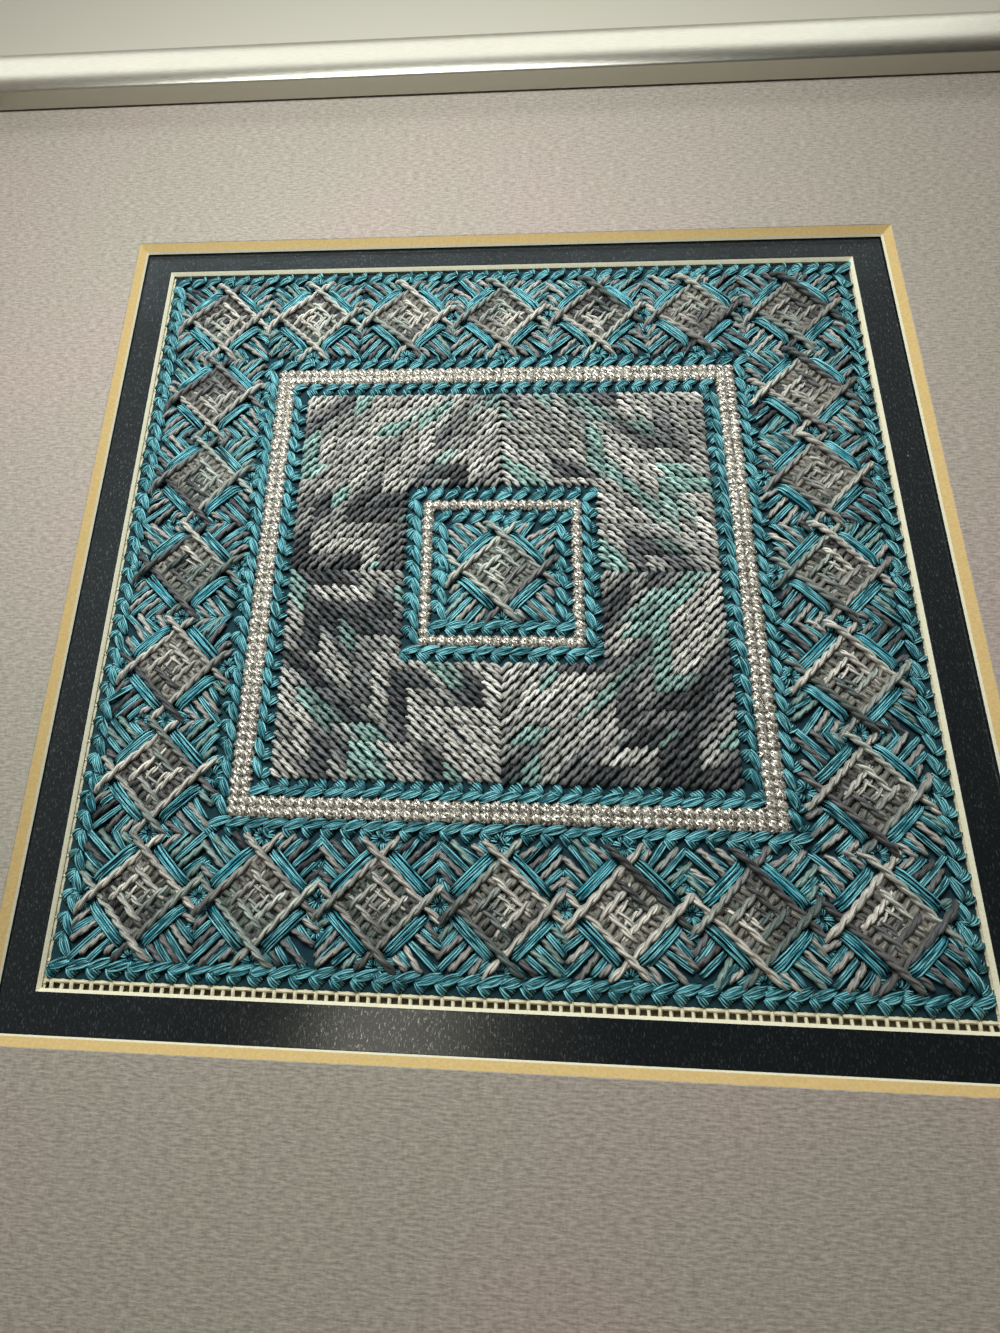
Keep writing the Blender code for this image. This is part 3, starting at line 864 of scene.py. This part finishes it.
# Lozenges
# Each is three open squares turned 45 degrees, one inside the other, in the overdyed cotton cord. The four
# strands of a square cross at its corners and run on past them, each over the next one clockwise. Short
# stitches fill the ground, darkened with painted shade.

def crossed_squares(corner, overrun, rise, ramp, swing, steps):
    """Centre lines of one square in every cell. A strand passes the corners at the given distance from the
    middle and ends the overrun beyond them, both in threads. Its height also swings by
    swing x sin(pi s / 2c), where s runs from -c to c between the corners, so it is under at its start and
    over at its end."""
    lines = []
    reach = corner / math.sqrt(2)
    half = reach + overrun * math.sqrt(2)
    for out in diagonals:
        side = np.array([-out[1], out[0]])
        strand_middle = cells + out * reach
        paths = stitch_paths(strand_middle - side * half, strand_middle + side * half, rise, ramp, steps)
        s = half * -np.cos(math.pi * np.linspace(0, 1, steps))
        fade = np.clip((half - np.abs(s)) / 1.2, 0, 1)
        paths[..., 2] += swing * np.sin(math.pi / 2 * np.clip(s / reach, -1, 1)) * fade
        lines.append(paths)
    return np.concatenate(lines)


lump_starts, lump_ends = square_to_sides(np.arange(-3, 4) * 0.9, 1.3, 3.2)
under_middles = np.concatenate([cells + diagonals[1] * 0.66 * row for row in range(-4, 5)])
under_starts = under_middles + diagonals[0] * 3.3
under_ends = under_middles - diagonals[0] * 3.3
ground_lines = np.concatenate([stitch_paths(lump_starts, lump_ends, rise=0.00062, ramp=0.0008, steps=6),
                               stitch_paths(under_starts, under_ends, rise=0.00030, ramp=0.0010, steps=6)])
ground_starts = np.concatenate([lump_starts, under_starts])
ground_dye_and_shade = overdye(ground_starts[:, 0] * 0.9, ground_starts[:, 1] * 0.8, 91, 1.4, 0.5)
# Painted shade: the ground stitches are darkened to about half, with a warm tint.
ground_dye_and_shade *= (0.50, 0.48, 0.44)
lozenges = [cord_piece("lozenge_ground", ground_lines, plies=2, ply_radius=0.00020, half_width=0.00046,
                       half_height=0.00038, pitch=0.0040, sides=4, colours=ground_dye_and_shade, end_shade=0.35)]
for name, corner, overrun, rise, ramp, swing, radius, wide, tone in (
        ("centre", 0.9, 0.5, 0.00060, 0.0008, 0.00012, 0.00020, 0.00024, 1.25),
        ("inner", 2.05, 0.85, 0.00090, 0.0015, 0.00022, 0.00022, 0.00033, 1.25),
        ("outer", 4.4, 1.9, 0.00105, 0.0026, 0.00034, 0.00024, 0.00037, 1.10)):
    steps = int(9 + 5 * corner)
    lines = crossed_squares(corner, overrun, rise, ramp, swing, steps)
    number = np.arange(len(lines)) * 7.0
    dye = np.stack([overdye(start, 0 * number, 51, 1.5, 0.4) for start in (number, number + 4)], axis=1)
    dye *= tone * np.array([1.0, 0.97, 0.93])
    lozenges.append(cord_piece("lozenge_" + name + "_squares", lines, plies=2, ply_radius=radius,
                               half_width=wide, half_height=wide, pitch=0.0042, sides=5, colours=dye,
                               end_shade=0.35))


# Studio
# A plain pale floor under the panel, and a pale room that is darkest over the camera's left shoulder. A
# soft lamp hangs close over the panel's upper left part, a long low window stands behind it and a small
# warm lamp in front. The plain view transform keeps the strong contrast of the threads.

floor_half = 1.5
floor_level = -0.0004
floor_corners = ((-1, -1), (1, -1), (1, 1), (-1, 1))
floor_points = [(x * floor_half, y * floor_half, floor_level) for x, y in floor_corners]
pale_floor, _, pale_shader = new_finish("pale floor", Roughness=0.9)
pale_shader.inputs["Base Color"].default_value = linear_colour("cfccbf")
floor_mesh = bpy.data.meshes.new("floor")
floor_mesh.from_pydata(floor_points, [], [(0, 1, 2, 3)])
floor_mesh.materials.append(pale_floor)
floor = bpy.data.objects.new("floor", floor_mesh)
bpy.context.collection.objects.link(floor)

bpy.context.scene.view_settings.view_transform = "Standard"
world = bpy.data.worlds.new("room")
bpy.context.scene.world = world
world.use_nodes = True
backdrop = world.node_tree.nodes["Background"]
towards = add_node(world.node_tree, "TexCoord")
facing = add_node(world.node_tree, "VectorMath", {0: towards.outputs["Generated"], 1: (-0.4, 0.5, -1.0)},
                  operation="DOT_PRODUCT")
wall = add_node(world.node_tree, "MapRange", {"Value": facing.outputs["Value"], "From Min": -1.0,
                                              "From Max": -0.35, "To Min": 0.03, "To Max": 0.38})
backdrop.inputs["Color"].default_value = linear_colour("f2e6da")
world.node_tree.links.new(wall.outputs["Result"], backdrop.inputs["Strength"])


def soft_lamp(name, place, size, power, tint):
    """A rectangular soft lamp that faces the middle of the panel."""
    light = bpy.data.lights.new(name, "AREA")
    light.shape = "RECTANGLE"
    light.size, light.size_y = size
    light.energy = power
    light.color = linear_colour(tint)[:3]
    lamp = bpy.data.objects.new(name, light)
    lamp.location = place
    lamp.rotation_euler = lamp.location.to_track_quat("Z", "Y").to_euler()
    bpy.context.collection.objects.link(lamp)


soft_lamp("near lamp", (-0.035, 0.070, 0.165), (0.11, 0.08), 0.37, "fbfffb")
soft_lamp("window", (-0.05, 0.60, 0.32), (0.95, 0.12), 1.25, "fbfffb")
soft_lamp("room lamp", (-0.057, -0.129, 0.50), (0.09, 0.12), 0.10, "ffe6cc")

# Camera
# It looks down at the stitching from close by, over the bottom edge. Its place is in widths of the outer
# window from the middle of that window, at the level of the foil.

window_width = 2 * (outer_window - outer_thickness)
camera_data = bpy.data.cameras.new("camera")
camera_data.sensor_width = 36.0
camera_data.lens = 19.939
camera_data.shift_x = 0.06
camera_data.clip_start = 0.01
camera = bpy.data.objects.new("camera", camera_data)
camera.location = (-0.03398 * window_width, -0.38116 * window_width, 0.77698 * window_width + inner_high.z)
camera.rotation_euler = (math.radians(19.151), math.radians(3.499), math.radians(2.081))
bpy.context.collection.objects.link(camera)
bpy.context.scene.camera = camera
